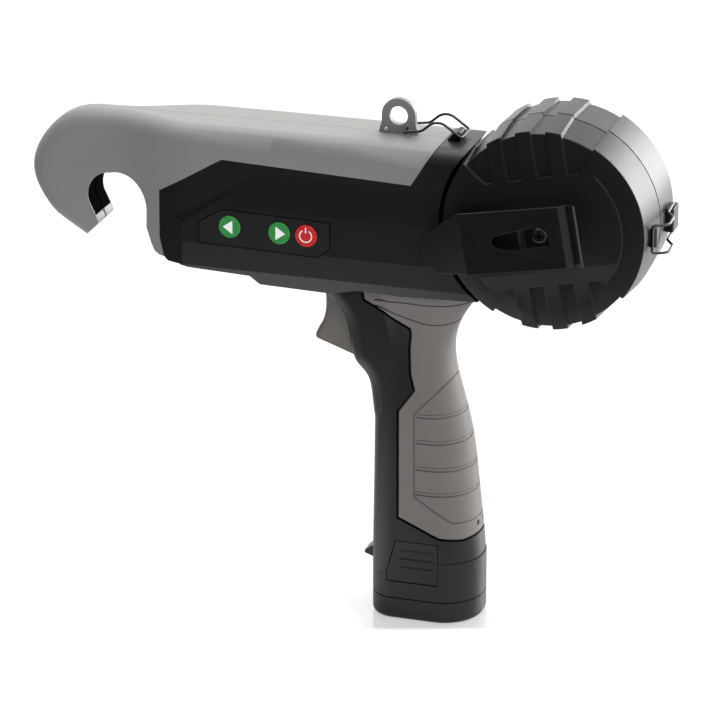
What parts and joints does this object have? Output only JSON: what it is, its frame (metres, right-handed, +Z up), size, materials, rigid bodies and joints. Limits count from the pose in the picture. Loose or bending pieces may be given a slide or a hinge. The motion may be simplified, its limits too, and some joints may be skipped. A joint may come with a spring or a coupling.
{
  "type": "electric vine tying tool",
  "caption": "Cordless vine tying tool: hooked nose, side control panel, trigger handle, slide-in battery, and a latched drum of tie wire with a belt hook.",
  "frame": {"origin": "on the flat underside of the battery, which the tool stands on, below the handle", "axes": "+Z up along the handle, -X towards the hooked nose, +X towards the wire drum, -Y to the tool's left side, with the control panel"},
  "size_m": [0.3309, 0.0754, 0.2681],
  "materials": {
    "grey_plastic": "fine matt texture",
    "black_plastic": "fine matt texture",
    "soft_grip": "soft, matt",
    "liner_black": "matt",
    "panel_film": "satin film",
    "green_button": "gloss, with an arrow icon",
    "red_button": "gloss, with a power icon",
    "trigger_grey": "fine matt texture",
    "black_sheet": "black, satin",
    "black_screw": "black oxide",
    "wire_steel": "dark drawn wire",
    "steel": "turned",
    "motor_can": "plated can",
    "gearbox_plastic": "moulded",
    "roller_steel": "knurled",
    "brass": "plain",
    "board_green": "coated board",
    "cell_wrap": "shrink wrap",
    "spool_plastic": "moulded",
    "tie_wire": "paper-coated wire"
  },
  "bodies": {
    "tool": {"left_nose_shell": "grey_plastic", "right_nose_shell": "grey_plastic", "hook_liner": "liner_black", "left_housing": "black_plastic", "right_housing": "black_plastic", "left_grip": "soft_grip", "right_grip": "soft_grip", "control_panel": "panel_film", "control_board": "board_green", "trigger_switch": "gearbox_plastic", "terminal_block": "gearbox_plastic", "reel_case": "black_plastic", "reel_screws": "black_screw", "reel_spindle": "steel", "spool_nut": "steel", "hanging_eye": "grey_plastic", "front_catch": "black_plastic", "rear_lug": "black_plastic", "twist_motor": "motor_can", "twister_bush": "brass", "feed_motor": "motor_can", "feed_gearbox": "gearbox_plastic", "pinch_arm": "steel", "wire_guide": "steel", "cutter_blade": "steel", "wire_strand": "tie_wire", "housing_screws": "black_screw"},
    "trigger": {"trigger": "trigger_grey"},
    "back_button": {"back_button": "green_button"},
    "forward_button": {"forward_button": "green_button"},
    "power_button": {"power_button": "red_button"},
    "battery": {"battery_base": "black_plastic", "battery_case": "black_plastic", "battery_cap": "black_plastic", "battery_cells": "cell_wrap", "battery_contacts": "brass", "cell_board": "board_green", "base_screws": "black_screw"},
    "left_tab": {"left_release_tab": "black_plastic"},
    "right_tab": {"right_release_tab": "black_plastic"},
    "cover": {"reel_cover": "black_plastic", "belt_hook": "black_sheet", "belt_hook_screw": "black_screw", "rear_catch": "black_plastic"},
    "spool": {"spool": "spool_plastic", "tie_wire": "tie_wire"},
    "front_bail": {"front_bail": "wire_steel"},
    "rear_bail": {"rear_bail": "wire_steel"},
    "drive_roller": {"drive_roller": "roller_steel"},
    "pinch_roller": {"pinch_roller": "roller_steel"},
    "twister": {"twister": "steel"}
  },
  "joints": [
    {"name": "trigger_pull", "type": "slide", "parent": "tool", "child": "trigger", "axis": [1, 0, 0], "range_m": [0, 0.005], "stiffness_N_per_m": 800},
    {"name": "back_button_press", "type": "slide", "parent": "tool", "child": "back_button", "axis": [0, 1, 0], "range_m": [0, 0.0008], "stiffness_N_per_m": 1200},
    {"name": "forward_button_press", "type": "slide", "parent": "tool", "child": "forward_button", "axis": [0, 1, 0], "range_m": [0, 0.0008], "stiffness_N_per_m": 1200},
    {"name": "power_button_press", "type": "slide", "parent": "tool", "child": "power_button", "axis": [0, 1, 0], "range_m": [0, 0.0008], "stiffness_N_per_m": 1200},
    {"name": "cover_lift", "type": "slide", "parent": "tool", "child": "cover", "axis": [0, -1, 0], "range_m": [0, 0.034]},
    {"name": "rear_bail_swing", "type": "hinge", "parent": "tool", "child": "rear_bail", "pos_m": [0.1163, 0.0185, 0.2148], "axis": [0, 0, 1], "range_deg": [0, 125]},
    {"name": "front_bail_swing", "type": "hinge", "parent": "tool", "child": "front_bail", "pos_m": [-0.0126, 0, 0.2534], "axis": [0, -1, 0], "range_deg": [0, 120]},
    {"name": "spool_spin", "type": "hinge", "parent": "tool", "child": "spool", "pos_m": [0.0625, 0, 0.216], "axis": [0, 1, 0], "continuous": true},
    {"name": "drive_roller_spin", "type": "hinge", "parent": "tool", "child": "drive_roller", "pos_m": [-0.014, 0, 0.22392], "axis": [0, 1, 0], "continuous": true},
    {"name": "pinch_roller_spin", "type": "hinge", "parent": "tool", "child": "pinch_roller", "pos_m": [-0.014, 0, 0.23868], "axis": [0, 1, 0], "continuous": true},
    {"name": "twister_spin", "type": "hinge", "parent": "tool", "child": "twister", "pos_m": [-0.14, 0, 0.197], "axis": [1, 0, 0], "continuous": true},
    {"name": "battery_slide", "type": "slide", "parent": "tool", "child": "battery", "axis": [0, 0, -1], "range_m": [0, 0.08]},
    {"name": "left_tab_press", "type": "hinge", "parent": "battery", "child": "left_tab", "pos_m": [0, -0.0202, 0.0223], "axis": [-1, 0, 0], "range_deg": [0, 5], "stiffness_Nm_per_rad": 0.4},
    {"name": "right_tab_press", "type": "hinge", "parent": "battery", "child": "right_tab", "pos_m": [0, 0.0202, 0.0223], "axis": [1, 0, 0], "range_deg": [0, 5], "stiffness_Nm_per_rad": 0.4}
  ],
  "couplings": [
    {"joint": "rear_bail_swing", "follows": "cover_lift", "rad_per_m": 61.5},
    {"joint": "pinch_roller_spin", "follows": "drive_roller_spin", "ratio": -1.3333}
  ]
}
